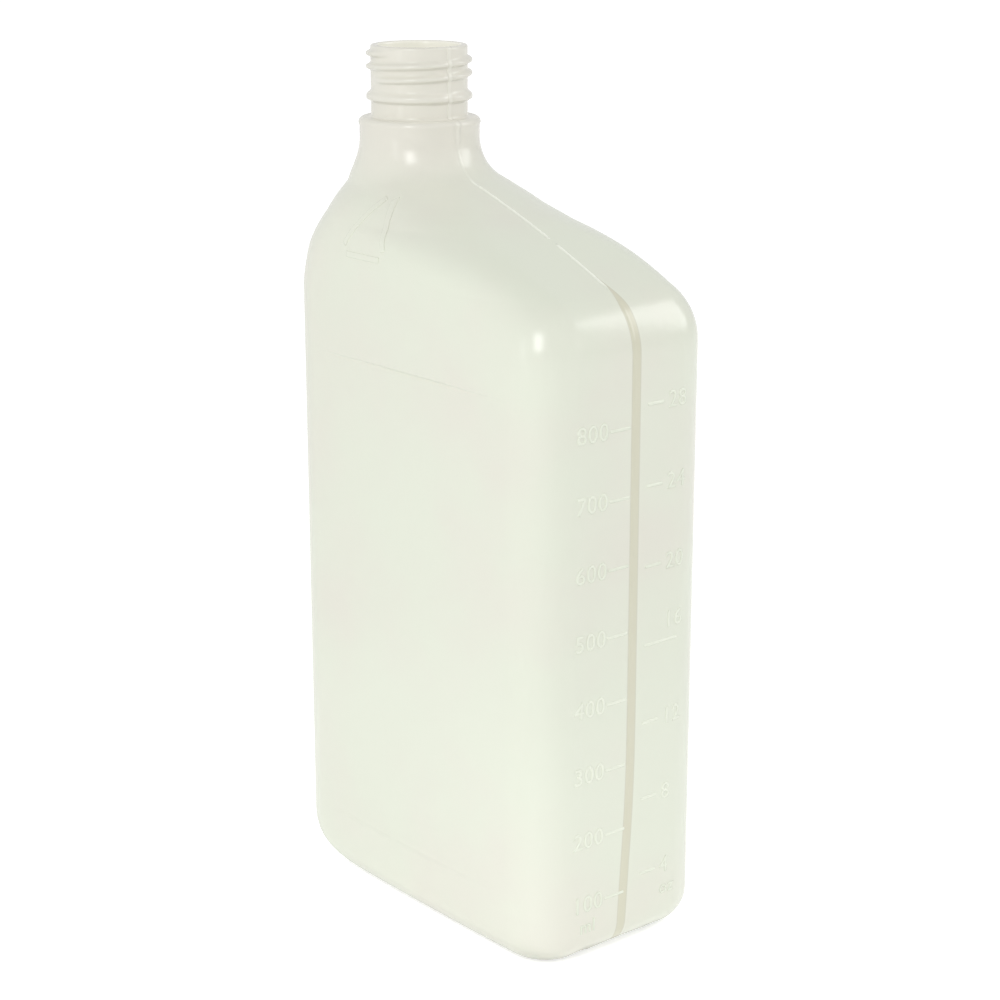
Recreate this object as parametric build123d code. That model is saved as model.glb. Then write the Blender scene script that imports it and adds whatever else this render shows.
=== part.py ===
"""One-quart oil bottle, blow moulded in one piece.

A flat, upright body with rounded corners rises to a long slope, and the open neck stands off to one side.
+Z is up, +X points to the narrow side below the slope, and the front faces -Y.
The origin is the middle of the foot.
"""

import os
from math import acos, asin, atan, ceil, cos, pi, radians, sin, sqrt, tan

from build123d import *

# Body, in millimetres
HEIGHT = 225.0
WIDTH = 105.7
DEPTH = 59.6
WALL = 0.85
CORNER_RADIUS = 13.9
FACE_BOW = 0.5
SIDE_BOW = 0.25

# Label panel: a flatter stretch of the front and back faces
PANEL_BOTTOM = 18.4
PANEL_HEIGHT = 129.3
PANEL_BOW = 0.1

# Heel and foot: the left heel is rounder, and a shallow arch follows the parting line
HEEL_RADIUS = 9.0
LEFT_HEEL_RADIUS = 14.0
ARCH_WIDTH = 32.0
ARCH_RISE = 3.0

# Neck: its axis is measured in from the left side, and bead and collar down from the rim
NECK_INSET = 22.15
NECK_RADIUS = 12.6
BORE_RADIUS = 10.8
RIM_ROUND = 0.6
BEAD_DROP = 13.5
BEAD_RADIUS = 13.8
BEAD_HEIGHT = 3.0
COLLAR_DROP = 18.4
COLLAR_RADIUS = 15.95
COLLAR_HEIGHT = 2.3
COLLAR_ROUND = 1.5
BORE_LEDGE = 0.25

# Shoulder: the stem under the collar and the arcs that run down from it to the walls
STEM_RADIUS = 15.7
STEM_HEIGHT = 2.9
SLOPE_ANGLE = 17.6
SLOPE_CONCAVE_RADIUS = 10.75
SLOPE_CROWN_RADIUS = 420.0
SLOPE_CONVEX_RADIUS = 16.4
LEFT_CONCAVE_RADIUS = 13.4
LEFT_CONVEX_RADIUS = 66.0
FRONT_CONCAVE_RADIUS = 16.2
FRONT_CONVEX_RADIUS = 19.5
# Extra rounding of the corners half way up the shoulder
SLOPE_CORNER_SWELL = 1.65
LEFT_CORNER_SWELL = 6.8
LEFT_SWELL_HEIGHT = 39.4

# Half of the angle that one of the four flats keeps where a section has become the round stem
STEM_FLAT_ANGLE = 10.0
# Spacing of the level sections along the skin
SECTION_STEP = 3.2

NECK_OFFSET = WIDTH / 2 - NECK_INSET
COLLAR_TOP = HEIGHT - COLLAR_DROP
COLLAR_BOTTOM = COLLAR_TOP - COLLAR_HEIGHT
STEM_FOOT = COLLAR_BOTTOM - STEM_HEIGHT
FLARE_TOP = COLLAR_TOP - (NECK_RADIUS - BORE_RADIUS) / 2
STEM_TURN = radians(STEM_FLAT_ANGLE)


def steps(low, high, length):
    """Values from low up to, but not including, high, spaced for a line of the given length."""
    count = ceil(length / SECTION_STEP)
    return [low + (high - low) * i / count for i in range(count)]


class Shoulder:
    """A line from the stem out to a wall: a concave, a crowned and a convex arc, each tangent to the next.

    Distances are counted from the neck axis. An inset gives the parallel line inside the wall.
    """

    def __init__(self, reach, concave, crown, convex, top_angle, low_angle, inset):
        self.near = STEM_RADIUS - inset
        self.far = reach - inset
        self.concave = concave + inset
        self.crown = crown - inset
        self.convex = convex - inset
        self.top_angle = top_angle
        self.low_angle = low_angle
        to_crown = self.concave + self.crown
        to_convex = self.crown - self.convex
        self.concave_x = self.near + self.concave
        self.crown_x = self.concave_x - to_crown * sin(top_angle)
        self.crown_z = STEM_FOOT - to_crown * cos(top_angle)
        self.convex_x = self.crown_x + to_convex * sin(low_angle)
        self.foot = self.crown_z + to_convex * cos(low_angle)
        self.crown_top = STEM_FOOT - self.concave * cos(top_angle)
        self.convex_top = self.foot + self.convex * cos(low_angle)

    def at(self, z):
        """Distance from the neck axis, and steepness of the line in radians, at a height."""
        if z >= STEM_FOOT:
            return self.near, pi / 2
        if z >= self.crown_top:
            turn = asin((STEM_FOOT - z) / self.concave)
            return self.concave_x - self.concave * cos(turn), pi / 2 - turn
        if z >= self.convex_top:
            steep = acos((z - self.crown_z) / self.crown)
            return self.crown_x + self.crown * sin(steep), steep
        if z >= self.foot:
            steep = acos((z - self.foot) / self.convex)
            return self.convex_x + self.convex * sin(steep), steep
        return self.far, pi / 2

    def heights(self):
        """Heights of the sections along the line, from its foot up to the stem."""
        convex_turns = steps(pi / 2, self.low_angle, self.convex * (pi / 2 - self.low_angle))
        crown_turns = steps(self.low_angle, self.top_angle, self.crown * (self.low_angle - self.top_angle))
        concave_turns = steps(self.top_angle, pi / 2, self.concave * (pi / 2 - self.top_angle))
        result = [self.foot + self.convex * cos(turn) for turn in convex_turns]
        result += [self.crown_z + self.crown * cos(turn) for turn in crown_turns]
        result += [STEM_FOOT - self.concave * cos(turn) for turn in concave_turns]
        return result


def slope_shoulder(inset):
    """The long crowned slope from the neck to the far narrow side."""
    reach = WIDTH / 2 + NECK_OFFSET
    top = radians(SLOPE_ANGLE)
    run = reach - STEM_RADIUS - SLOPE_CONCAVE_RADIUS * (1 - sin(top)) + SLOPE_CROWN_RADIUS * sin(top)
    low = asin((run - SLOPE_CONVEX_RADIUS) / (SLOPE_CROWN_RADIUS - SLOPE_CONVEX_RADIUS))
    radii = (SLOPE_CONCAVE_RADIUS, SLOPE_CROWN_RADIUS, SLOPE_CONVEX_RADIUS)
    return Shoulder(reach, *radii, top, low, inset)


def swept_shoulder(reach, concave, convex, inset):
    """A plain S-shaped shoulder of two arcs."""
    angle = asin(1 - (reach - STEM_RADIUS) / (concave + convex))
    return Shoulder(reach, concave, convex, convex, angle, angle, inset)


def arc_edge(start, corner, end, turn):
    """A round edge from start to end whose tangents meet at corner."""
    share = 4 / 3 * tan(turn / 4) / tan(turn / 2)
    return Bezier(start, start + (corner - start) * share, end + (corner - end) * share, end)


def bowed_edge(start, end, outward, turn):
    """A shallow arc that bulges outward and turns by the given angle at each end."""
    corner = (start + end) * 0.5 + outward * ((end - start).length / 2 * tan(turn))
    return arc_edge(start, corner, end, 2 * turn)


def corner_edge(start, leave, end, arrive):
    """A round corner from one direction to another, both given as angles in the level plane."""
    go = Vector(cos(leave), sin(leave))
    come = Vector(cos(arrive), sin(arrive))
    gap = end - start
    reach = (gap.X * come.Y - gap.Y * come.X) / (go.X * come.Y - go.Y * come.X)
    return arc_edge(start, start + go * reach, end, arrive - leave)


def bow_turn(bow, length, rise):
    """End angle of a flat's bow, from the body's own bow up to the round stem."""
    turn = 2 * atan(2 * bow / length)
    return turn + (STEM_TURN - turn) * rise


def share_of(z, low, high):
    """How far a height is from low to high, from 0 to 1."""
    return min(max((z - low) / (high - low), 0), 1)


def swelling(rise):
    """A smooth hump that starts and ends at nothing."""
    return sin(pi * rise) ** 2


class Skin:
    """The outside of the bottle, or the parallel surface inside the wall, as level sections."""

    def __init__(self, inset, top):
        self.inset = inset
        self.top = top
        self.slope = slope_shoulder(inset)
        self.left = swept_shoulder(NECK_INSET, LEFT_CONCAVE_RADIUS, LEFT_CONVEX_RADIUS, inset)
        self.front = swept_shoulder(DEPTH / 2, FRONT_CONCAVE_RADIUS, FRONT_CONVEX_RADIUS, inset)

    def heel(self, z, radius):
        """How far the heel draws in at a height."""
        drop = radius - z
        if drop <= 0:
            return 0
        inner = radius - self.inset
        return inner - sqrt(inner**2 - drop**2)

    def heights(self):
        """Heights of the sections from the floor to the top of the stem."""
        radius = HEEL_RADIUS - self.inset
        foot = self.slope.foot
        result = [HEEL_RADIUS - radius * cos(turn) for turn in steps(0, pi / 2, radius * pi / 2)]
        result += steps(HEEL_RADIUS, foot, foot - HEEL_RADIUS)
        result += self.slope.heights()
        return result + steps(STEM_FOOT, self.top, self.top - STEM_FOOT) + [self.top]

    def section(self, z):
        """Closed wire of four bowed flats and four corners at one height."""
        right, right_steep = self.slope.at(z)
        left, left_steep = self.left.at(z)
        half, face_steep = self.front.at(z)
        heel = self.heel(z, HEEL_RADIUS)
        left_heel = self.heel(z, LEFT_HEEL_RADIUS)
        right = right - NECK_OFFSET - heel
        left = left_heel - left - NECK_OFFSET
        half = half - heel

        rise = share_of(z, self.front.foot, STEM_FOOT)
        left_rise = share_of(z, STEM_FOOT - LEFT_SWELL_HEIGHT, STEM_FOOT)
        radius = CORNER_RADIUS + (STEM_RADIUS - CORNER_RADIUS) * rise - self.inset
        right_radius = radius + SLOPE_CORNER_SWELL * swelling(rise) - heel
        left_radius = radius + LEFT_CORNER_SWELL * swelling(left_rise) + left_heel

        least = (STEM_RADIUS - self.inset) * sin(STEM_TURN)
        right_flat = max(half - right_radius / sin(face_steep), least)
        left_flat = max(half - left_radius / sin(face_steep), least)
        left_run = min(left_radius / sin(left_steep), (right - left) / 2 - least)
        right_run = min(right_radius / sin(right_steep), right - left - left_run - 2 * least)
        face_left = left + left_run
        face_right = right - right_run

        side_turn = bow_turn(SIDE_BOW, DEPTH - 2 * CORNER_RADIUS, rise)
        face_turn = bow_turn(FACE_BOW, WIDTH - 2 * CORNER_RADIUS, rise)
        face_y = half - (face_right - face_left) / 2 * tan(face_turn / 2)
        right_x = right - right_flat * tan(side_turn / 2)
        left_x = left + left_flat * tan(side_turn / 2)

        flats = [
            (Vector(right_x, -right_flat), Vector(right_x, right_flat), side_turn),
            (Vector(face_right, face_y), Vector(face_left, face_y), face_turn),
            (Vector(left_x, left_flat), Vector(left_x, -left_flat), side_turn),
            (Vector(face_left, -face_y), Vector(face_right, -face_y), face_turn),
        ]
        edges = []
        for i, (start, end, turn) in enumerate(flats):
            next_start, _, next_turn = flats[(i + 1) % len(flats)]
            facing = i * pi / 2
            edges.append(bowed_edge(start, end, Vector(cos(facing), sin(facing)), turn))
            edges.append(corner_edge(end, facing + pi / 2 + turn, next_start, facing + pi - next_turn))
        return Pos(0, 0, z) * Wire(edges)

    def solid(self):
        """Closed body from the floor to the top of the stem, less the foot's arch and the panels."""
        body = Solid.make_loft([self.section(z) for z in self.heights()])
        return body - self.arch() - self.panel(1) - self.panel(-1)

    def panel(self, side):
        """Block that takes the bow off the front (-1) or the back (1) where the label goes."""
        face = DEPTH / 2 - FACE_BOW + PANEL_BOW - self.inset
        block = Box(WIDTH, DEPTH, PANEL_HEIGHT, align=(Align.CENTER, Align.CENTER, Align.MIN))
        return Pos(0, side * (face + DEPTH / 2), PANEL_BOTTOM) * block

    def arch(self):
        """Long shallow cylinder that lifts the foot along the parting line."""
        radius = (ARCH_WIDTH**2 / 4 + ARCH_RISE**2) / (2 * ARCH_RISE)
        return Pos(0, 0, ARCH_RISE - radius) * Cylinder(radius + self.inset, 2 * WIDTH, rotation=(0, 90, 0))


def turned(profile):
    """Solid of revolution about the neck axis from an outline of distances and heights."""
    return Pos(-NECK_OFFSET, 0, 0) * revolve(Plane.XZ * make_face(profile), Axis.Z)


def neck_outside():
    """Collar, bead and neck wall."""
    bead = HEIGHT - BEAD_DROP
    bead_low = bead - BEAD_HEIGHT / 2
    bead_high = bead + BEAD_HEIGHT / 2
    collar_side = COLLAR_TOP - COLLAR_ROUND
    collar_flat = COLLAR_RADIUS - COLLAR_ROUND
    rim_side = HEIGHT - RIM_ROUND
    rim_flat = NECK_RADIUS - RIM_ROUND
    outline = Polyline(
        (0, HEIGHT),
        (0, COLLAR_BOTTOM),
        (COLLAR_RADIUS, COLLAR_BOTTOM),
        (COLLAR_RADIUS, collar_side),
    )
    outline += RadiusArc((COLLAR_RADIUS, collar_side), (collar_flat, COLLAR_TOP), -COLLAR_ROUND)
    outline += Polyline((collar_flat, COLLAR_TOP), (NECK_RADIUS, COLLAR_TOP), (NECK_RADIUS, bead_low))
    outline += ThreePointArc((NECK_RADIUS, bead_low), (BEAD_RADIUS, bead), (NECK_RADIUS, bead_high))
    outline += Line((NECK_RADIUS, bead_high), (NECK_RADIUS, rim_side))
    outline += RadiusArc((NECK_RADIUS, rim_side), (rim_flat, HEIGHT), -RIM_ROUND)
    outline += Line((rim_flat, HEIGHT), (0, HEIGHT))
    return turned(outline)


def neck_inside():
    """Straight bore, rounded at the rim, that flares out inside the collar."""
    flare = STEM_RADIUS - WALL - BORE_LEDGE
    outline = Polyline(
        (0, HEIGHT),
        (0, STEM_FOOT - BORE_LEDGE),
        (flare, STEM_FOOT - BORE_LEDGE),
        (flare, STEM_FOOT),
        (BORE_RADIUS, FLARE_TOP),
        (BORE_RADIUS, HEIGHT - RIM_ROUND),
    )
    outline += RadiusArc((BORE_RADIUS, HEIGHT - RIM_ROUND), (BORE_RADIUS + RIM_ROUND, HEIGHT), RIM_ROUND)
    outline += Line((BORE_RADIUS + RIM_ROUND, HEIGHT), (0, HEIGHT))
    return turned(outline)


def bottle():
    """The whole moulding: skin, neck and the room inside them."""
    outside = Skin(0, COLLAR_BOTTOM).solid() + neck_outside()
    inside = Skin(WALL, STEM_FOOT).solid()
    return outside - inside - neck_inside()


os.makedirs("parts", exist_ok=True)
export_step(bottle(), "parts/bottle.step")
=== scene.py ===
"""Oil bottle: a blow-moulded bottle with an offset screw neck, dressed and lit for a studio picture.

Lengths are in metres. +Z is up, +X points to the narrow side below the slope, and the front faces -Y.
"""

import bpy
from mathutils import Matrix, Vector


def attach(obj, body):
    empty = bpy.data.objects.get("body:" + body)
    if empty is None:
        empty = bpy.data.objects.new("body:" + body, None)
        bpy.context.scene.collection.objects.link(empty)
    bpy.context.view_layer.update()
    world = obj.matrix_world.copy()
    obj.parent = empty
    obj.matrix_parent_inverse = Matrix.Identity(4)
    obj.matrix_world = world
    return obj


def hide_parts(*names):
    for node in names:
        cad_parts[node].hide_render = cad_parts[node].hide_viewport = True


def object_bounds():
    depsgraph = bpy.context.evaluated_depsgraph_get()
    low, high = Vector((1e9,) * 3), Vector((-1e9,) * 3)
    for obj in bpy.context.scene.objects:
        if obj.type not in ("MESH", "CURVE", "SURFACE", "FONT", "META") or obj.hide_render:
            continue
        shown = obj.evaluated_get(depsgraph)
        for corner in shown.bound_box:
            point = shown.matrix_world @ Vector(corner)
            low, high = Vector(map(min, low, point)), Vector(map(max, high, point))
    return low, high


bl_info = {
    "name": "Oil bottle",
    "version": (1, 0, 0),
    "blender": (4, 5, 0),
    "location": "3D View > Sidebar > Oil bottle",
    "description": "Models the moulded bottle over its CAD frame and sets the studio",
    "category": "Object",
}

from math import acos, asin, atan, atan2, ceil, cos, exp, pi, radians, sin, sqrt, tan

import bmesh
import bpy
import numpy as np
from bpy.props import FloatProperty, FloatVectorProperty, PointerProperty
from mathutils import Vector

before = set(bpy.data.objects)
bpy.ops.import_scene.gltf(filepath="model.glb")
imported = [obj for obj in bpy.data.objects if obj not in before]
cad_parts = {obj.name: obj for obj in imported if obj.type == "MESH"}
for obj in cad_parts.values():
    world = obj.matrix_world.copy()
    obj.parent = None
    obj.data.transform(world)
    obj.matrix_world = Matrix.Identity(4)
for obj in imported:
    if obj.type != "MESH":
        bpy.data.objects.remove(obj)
CAD_LOW, CAD_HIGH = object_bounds()
CAD_SIZE = CAD_HIGH - CAD_LOW
MM = 0.001

# Points of one level ring of the skin: offsets on a narrow side, steps on a wide face and on a corner
SIDE_SHARES = (1.0, 0.62, 0.34)
FACE_STEPS = 12
CORNER_STEPS = 20
SEAM_COLUMN_SHARE = 2.4
SEAM_BAND_COLUMNS = 2
# Rows of rings on the rounded edges, the heel, the label panel and the foot
COLLAR_ROWS = 6
ROUND_ROWS = 4
HEEL_ROWS = 9
PANEL_ROWS = 6
PANEL_RAMP_SHARES = (-1, -0.5, 0, 0.5, 1)
PANEL_STEP_SHARES = (-1, -0.5, 0, 0.5, 1, 1.5, 2.2, 3)
INNER_HEEL_ROWS = 5
INNER_PANEL_ROWS = 1
FLOOR_SHARES = (0.1, 0.42, 0.77)
CREASE = radians(50)
# Fill marks: millilitres down the left of the view strip, ounces down its right
MILLILITRES = range(800, 0, -100)
OUNCES = range(28, 0, -4)
PINT = 16
MILLILITRES_PER_OUNCE = 29.574
WORD_SPACING = 1.1
WORD_ROUND_STEPS = 1
# A bar of the scale: its rounding as a share of its width, and its thickness in reliefs, most of it sunk
BAR_ROUND = 0.45
BAR_ROUND_STEPS = 4
BAR_THICKNESS = 3
# The shoulder sign: its bars, their grid, their distance from its middle as a share of their length,
# their thickness in reliefs, half of it sunk, and the rounding of their edges as a share of the relief
SIGN_BARS = 3
SIGN_GRID = (14, 4)
SIGN_SPREAD = 0.4
SIGN_THICKNESS = 2
SIGN_ROUND = 0.6
SIGN_ROUND_STEPS = 2
SEAM_FADE = 1.5 * MM
FLOOR_SIZE = 12.0
WHITE = (1.0, 1.0, 1.0, 1.0)
BLACK = (0.0, 0.0, 0.0, 1.0)


def length(name, description, millimetres):
    """A length property whose default is written in millimetres."""
    value = millimetres * MM
    return FloatProperty(name=name, description=description, default=value, unit="LENGTH", precision=5)


def angle(name, description, degrees):
    """An angle property whose default is written in degrees."""
    return FloatProperty(name=name, description=description, default=radians(degrees), subtype="ANGLE")


def share(name, description, value):
    """A plain number property, such as a share, a scale or a strength."""
    return FloatProperty(name=name, description=description, default=value)


def watts(name, description, value):
    """A lamp's power property."""
    return FloatProperty(name=name, description=description + ", in watts", default=value)


def spot(name, description, x, y, z):
    """A property for a place in the studio, in metres."""
    return FloatVectorProperty(name=name, description=description, default=(x, y, z), unit="LENGTH")


def lamp_face(name, description, across, up):
    """A property for the width and height of a lamp, in metres."""
    face = (across, up)
    return FloatVectorProperty(name=name, description=description, default=face, size=2, unit="LENGTH")


def colour(name, description, red, green, blue):
    """A colour property, with linear values."""
    return FloatVectorProperty(
        name=name, description=description, default=(red, green, blue), subtype="COLOR", min=0.0, max=1.0
    )


class BottleBody(bpy.types.PropertyGroup):
    """Sizes of the body, its label panels, its heel and its foot."""

    height: length("Height", "Height of the rim above the floor", CAD_HIGH.z / MM)
    width: length("Width", "Size across the two narrow sides", CAD_SIZE.x / MM)
    depth: length("Depth", "Size across the two wide faces", CAD_SIZE.y / MM)
    wall: length("Wall", "Thickness of the moulded wall", 0.85)
    corner_radius: length("Corner radius", "Radius of the upright corners", 13.9)
    face_bow: length("Face bow", "How far a wide face bulges", 0.5)
    side_bow: length("Side bow", "How far a narrow side bulges", 0.25)
    panel_bottom: length("Panel bottom", "Lower edge of the flat label panel", 18.4)
    panel_height: length("Panel height", "Height of the flat label panel", 129.3)
    panel_bow: length("Panel bow", "How much of the bulge the label panel keeps", 0.1)
    panel_step: length("Panel step", "Half height of the step at a panel's upper edge", 0.4)
    panel_ramp: length("Panel ramp", "Half height of the soft ramp at a panel's lower edge", 0.9)
    panel_groove: length("Panel groove", "Depth of the fine groove under a panel's upper edge", 0.28)
    heel_radius: length("Heel radius", "Rounding between the walls and the foot", 9.0)
    left_heel_radius: length("Left heel radius", "Rounding of the heel under the neck", 14.0)
    arch_width: length("Arch width", "Width of the shallow arch under the foot", 32.0)
    arch_rise: length("Arch rise", "Height of the shallow arch under the foot", 3.0)


class BottleShoulder(bpy.types.PropertyGroup):
    """Arcs that run from the stem under the collar down to the walls."""

    stem_radius: length("Stem radius", "Radius of the stem under the collar", 15.7)
    stem_height: length("Stem height", "Height of the stem under the collar", 2.9)
    slope_angle: angle("Slope angle", "Slant of the long slope where it leaves the stem", 17.6)
    slope_concave: length("Slope concave radius", "Arc between the stem and the long slope", 10.75)
    slope_crown: length("Slope crown radius", "Crown of the long slope", 420.0)
    slope_convex: length("Slope convex radius", "Arc between the long slope and the narrow side", 16.4)
    left_concave: length("Left concave radius", "Upper arc on the side under the neck", 13.4)
    left_convex: length("Left convex radius", "Lower arc on the side under the neck", 66.0)
    front_concave: length("Front concave radius", "Upper arc on the wide faces", 16.2)
    front_convex: length("Front convex radius", "Lower arc on the wide faces", 19.5)
    slope_swell: length("Slope corner swell", "Extra corner rounding half way up the slope", 3.1)
    left_swell: length("Left corner swell", "Extra corner rounding half way up the left side", 6.8)
    left_swell_height: length("Left swell height", "Height over which the left corners swell", 39.4)
    stem_flat: angle("Stem flat", "Half of the angle that a flat keeps on the round stem", 10.0)
    ring_step: length("Ring step", "Spacing of the outer rings along the slope", 1.5)
    inner_step: length("Inner ring step", "Spacing of the rings inside the wall", 4.0)


class BottleNeck(bpy.types.PropertyGroup):
    """Collar, bead, screw thread, rim and mould seam."""

    inset: length("Neck inset", "Distance of the neck axis from the left side", 22.15)
    radius: length("Neck radius", "Radius of the neck wall", 12.6)
    bore_radius: length("Bore radius", "Radius of the mouth", 10.8)
    rim_round: length("Rim rounding", "Rounding of the rim", 0.6)
    bead_drop: length("Bead drop", "Distance of the bead below the rim", 13.3)
    bead_height: length("Bead height", "How far the bead stands out", 1.2)
    bead_above: length("Bead above", "Height of the bead's upper flank", 2.0)
    bead_below: length("Bead below", "Height of the bead's lower flank", 1.25)
    collar_drop: length("Collar drop", "Distance of the collar's top below the rim", 18.4)
    collar_radius: length("Collar radius", "Radius of the collar", 15.95)
    collar_height: length("Collar height", "Height of the collar", 2.3)
    collar_round: length("Collar rounding", "Rounding of the collar's top edge", 1.5)
    foot_round: length("Neck foot rounding", "Fillet between the collar and the neck", 0.7)
    thread_drop: length("Thread drop", "Distance of the thread's start below the rim", 1.62)
    thread_pitch: length("Thread pitch", "Rise of the thread in one turn", 3.36)
    thread_height: length("Thread height", "How far the thread stands out", 1.2)
    thread_half: length("Thread half width", "Half of the thread's width at its root", 1.15)
    crest_share: share("Crest share", "Share of a ridge's flank that its round crest takes", 0.22)
    thread_turns: share("Thread turns", "Turns of the thread from its start to its end", 2.12)
    thread_fade: share("Thread fade", "Turns over which the thread's ends run out", 0.11)
    thread_start: angle("Thread start", "Direction in which the thread starts", -66.0)
    ring_step: length("Ring step", "Spacing of the rings on the neck wall", 0.27)
    seam_width: length("Seam width", "Half width of the mould seam's ridge", 0.32)
    seam_height: length("Seam height", "Height of the mould seam on the slope", 0.32)
    seam_low: length("Low seam height", "Height of the mould seam on the walls", 0.07)
    seam_band: length("Seam band height", "Height of the seam's flat band on the neck", 0.2)
    seam_gap_top: length("Seam gap top", "Upper end of the gap in the slope's seam", 180.9)
    seam_gap_bottom: length("Seam gap bottom", "Lower end of the gap in the slope's seam", 179.8)
    seam_cut: angle("Seam cut", "Half angle over which bead and thread shrink at the seam", 8.0)
    seam_cut_depth: share("Seam cut depth", "Share of bead and thread that is lost at the seam", 0.62)


class BottleScale(bpy.types.PropertyGroup):
    """Raised fill marks on the narrow side, and the plain sign on the shoulder."""

    top_mark: length("Top mark", "Height of the 800 ml mark", 139.1)
    per_hundred: length("Spacing", "Height of 100 ml", 17.5)
    relief: length("Relief", "How far the marks stand out", 0.2)
    line: length("Line", "Width of a mark", 0.85)
    left_end: length("Left mark end", "Where a millilitre mark ends beside the view strip", -1.1)
    left_length: length("Left mark length", "Length of a millilitre mark", 6.8)
    right_end: length("Right mark end", "Where an ounce mark starts beside the view strip", 4.4)
    right_length: length("Right mark length", "Length of an ounce mark", 5.6)
    pint_length: length("Pint mark length", "Length of the mark at sixteen ounces", 11.8)
    pint_lift: length("Pint lift", "Height of the sixteen above its mark", 5.1)
    digit: length("Digit size", "Size of the millilitre numbers", 6.2)
    ounce_digit: length("Ounce digit size", "Size of the ounce numbers", 6.0)
    unit: length("Unit size", "Size of the unit letters", 5.0)
    unit_z: length("Unit height", "Height of the millilitre letters' middle", 10.4)
    ounce_unit_z: length("Ounce unit height", "Height of the ounce letters' middle", 13.4)
    bold: length("Bold", "How much the strokes of the numbers are widened", 0.1)
    left_number: length("Left number", "Middle of the millilitre numbers", -13.2)
    right_number: length("Right number", "Where the ounce numbers start", 11.6)
    sign_x: length("Sign place", "Middle of the shoulder sign", -16.5)
    sign_z: length("Sign height", "Height of the shoulder sign's middle", 180.0)
    sign_size: length("Sign size", "Length of one bar of the shoulder sign", 13.5)
    sign_line: length("Sign line", "Width of one bar of the shoulder sign", 1.5)


class BottleFinish(bpy.types.PropertyGroup):
    """Colours and surface of the moulded plastic."""

    plastic: colour("Plastic", "Colour of the moulding", 0.785, 0.82, 0.70)
    warm: colour("Warm tone", "Colour in the slightly warmer clouds", 0.79, 0.783, 0.69)
    neck: colour("Neck", "Warmer colour of the thick plastic at the neck", 0.785, 0.76, 0.685)
    # Painted light: the mouth's inside is made pale for light that shines through its thin wall.
    mouth: colour("Mouth", "Colour of the lining inside the mouth", 0.95, 0.935, 0.85)
    # The seam's pale colour is a painted highlight, standing in for light that catches the seam's ridge.
    flash: colour("Seam flash", "Colour of the thin flash on the mould seam", 0.98, 1.0, 0.9)
    # The marks' paler colour is a painted highlight, standing in for light on their raised tops.
    mark: colour("Raised marks", "Colour of the rubbed tops of the raised marks", 0.845, 0.878, 0.757)
    strip: colour("View strip", "Colour of the clearer strip", 0.69, 0.68, 0.54)
    strip_edge: colour("View strip edge", "Colour along the strip's edges", 0.665, 0.655, 0.54)
    flash_spread: share("Flash spread", "Half width of the pale flash, in half widths of the seam", 2.0)
    neck_flash: share("Neck flash", "Strength of the pale flash on the neck", 0.15)
    warm_low: length("Neck tone low", "Height at which the warmer colour of the neck starts", 186.0)
    warm_high: length("Neck tone high", "Height from which the neck has its warmer colour", 204.0)
    warm_share: share("Neck tone share", "How much of the warmer colour the neck takes", 0.8)
    roughness: share("Roughness", "Roughness of the satin skin", 0.22)
    satin_change: share("Satin change", "How much the ripple changes the roughness", 0.03)
    cloud_scale: share("Cloud scale", "Scale of the cloudy tone", 24.0)
    cloud_detail: share("Cloud detail", "Detail of the cloudy tone", 3.0)
    cloud_low: share("Cloud low", "Noise value at which a cloud starts", 0.35)
    cloud_high: share("Cloud high", "Noise value at which a cloud is full", 0.75)
    grain_scale: share("Grain scale", "Scale of the fine grain", 2600.0)
    ripple_scale: share("Ripple scale", "Scale of the soft ripple", 160.0)
    grain_detail: share("Grain detail", "Detail of the grain and of the ripple", 2.0)
    speck: share("Speck", "How much the fine grain changes the tone", 0.02)
    grain_height: share("Grain height", "Share of the fine grain in the surface", 0.006)
    ripple_height: share("Ripple height", "Share of the soft ripple in the surface", 0.3)
    bump_strength: share("Bump strength", "Strength of the surface's unevenness", 0.5)
    bump_depth: length("Bump depth", "Depth of the surface's unevenness", 0.3)
    refraction: share("Refraction", "Index of refraction of the plastic", 1.5)
    lining_glow: share("Lining glow", "Light that shines through the wall to the inside", 0.15)
    strip_half: length("Strip half width", "Half width of the view strip", 1.35)
    strip_soft: length("Strip edge", "Softness of the view strip's edge", 0.3)
    strip_full: length("Strip full height", "Height up to which the strip has its full width", 167.0)
    strip_tip: length("Strip tip", "Height at which the strip runs out on the shoulder", 173.8)
    strip_middle: length("Strip middle", "Place of the strip's middle on the narrow side", 0.55)
    strip_lean: length("Strip lean", "How far the strip leans aside at the foot", 2.6)
    strip_lean_top: length("Strip lean top", "Height below which the strip leans aside", 76.0)
    strip_lean_curve: share("Strip lean curve", "Power that curves the strip's lean", 2.2)
    strip_side: length("Strip side", "Distance from the bottle's middle beyond which the strip shows", 30.0)


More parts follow.
